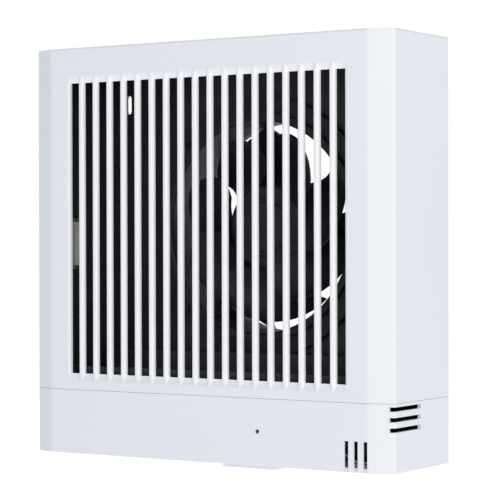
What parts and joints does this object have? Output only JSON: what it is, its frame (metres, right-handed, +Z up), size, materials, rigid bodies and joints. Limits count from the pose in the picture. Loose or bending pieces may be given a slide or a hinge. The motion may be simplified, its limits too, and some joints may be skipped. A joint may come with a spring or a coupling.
{
  "type": "heat recovery ventilator head",
  "caption": "Indoor head of a through-wall heat recovery ventilator: slatted lift-off cover, control strip with key and vents, axial fan in a duct spigot.",
  "frame": {"origin": "on the duct axis at the wall plane", "axes": "+Z up, -Y the slatted front, +Y into the wall along the duct, +X to the right seen from the room"},
  "size_m": [0.29, 0.116, 0.2872],
  "materials": {
    "white_casing": "moulded, fine satin texture",
    "black_chassis": "moulded, semi-gloss",
    "fan_plastic": "glass-filled, semi-gloss",
    "foam": "closed-cell foam",
    "rubber_black": "soft rubber",
    "zinc_steel": "zinc plated",
    "black_steel": "black oxide",
    "rotor_steel": "deep-drawn, phosphated",
    "bearing_steel": "ground",
    "brass": "turned",
    "magnet": "bonded ferrite",
    "lamination": "stacked sheet",
    "copper_wire": "enamelled copper",
    "board_green": "solder resist",
    "board_black": "black solder resist",
    "connector_ivory": "nylon",
    "terminal_green": "polyamide",
    "component_black": "moulded epoxy",
    "winding_tape": "polyester tape",
    "capacitor_sleeve": "shrink sleeve",
    "film_yellow": "box capacitor",
    "relay_blue": "relay cover",
    "fuse_glass": "glass tube fuse",
    "smoked_window": "infrared-clear acrylic",
    "cable_black": "pvc sheath",
    "ribbon_grey": "flat ribbon",
    "wire_white": "pvc insulation",
    "spring_wire": "drawn wire"
  },
  "bodies": {
    "housing": {"control_cover": "white_casing", "cover_seal": "foam", "chassis": "black_chassis", "wall_gasket": "foam", "flange_gasket": "foam", "fan_barrel": "fan_plastic", "flange_screws": "black_steel", "bearing_tube": "brass", "bearing_outer_rings": "bearing_steel", "stator_core": "lamination", "stator_coils": "copper_wire", "motor_board": "board_green", "fan_lead": "cable_black", "lead_clips": "fan_plastic", "deck_grommet": "rubber_black", "fan_plug": "connector_ivory", "fan_header": "connector_ivory", "power_board": "board_green", "board_screws": "zinc_steel", "terminal_block": "terminal_green", "terminal_screws": "zinc_steel", "power_transformer": "winding_tape", "electrolytic_caps": "capacitor_sleeve", "film_capacitor": "film_yellow", "line_choke": "copper_wire", "relay": "relay_blue", "fuse": "fuse_glass", "controller_chip": "component_black", "inlet_grommet": "rubber_black", "cable_clamp": "black_chassis", "clamp_screws": "zinc_steel", "control_board": "board_green", "panel_screws": "zinc_steel", "tact_switch": "component_black", "buzzer": "component_black", "ir_receiver": "component_black", "ir_window": "smoked_window", "ribbon_cable": "ribbon_grey", "ribbon_sockets": "component_black", "key_springs": "spring_wire", "key_retainer": "black_chassis", "retainer_screws": "zinc_steel", "sensor_board": "board_black", "sensor_chip": "component_black", "sensor_lead": "wire_white", "sensor_screws": "zinc_steel", "strip_screws": "zinc_steel"},
    "rotor": {"bearing_inner_rings": "bearing_steel", "bearing_balls": "bearing_steel", "shaft": "bearing_steel", "shaft_circlip": "spring_wire", "rotor_cup": "rotor_steel", "magnet_ring": "magnet", "impeller": "fan_plastic"},
    "cover": {"grille_cover": "white_casing"},
    "key": {"mode_key": "white_casing"}
  },
  "joints": [
    {"name": "impeller_spin", "type": "hinge", "parent": "housing", "child": "rotor", "pos_m": [0, 0, 0], "axis": [0, 1, 0], "continuous": true},
    {"name": "cover_pull", "type": "slide", "parent": "housing", "child": "cover", "axis": [0, -1, 0], "range_m": [0, 0.1]},
    {"name": "key_press", "type": "slide", "parent": "housing", "child": "key", "axis": [0, 0, 1], "range_m": [0, 0.0012], "stiffness_N_per_m": 400, "springref_m": -0.002, "deforming": ["key_springs"]}
  ]
}
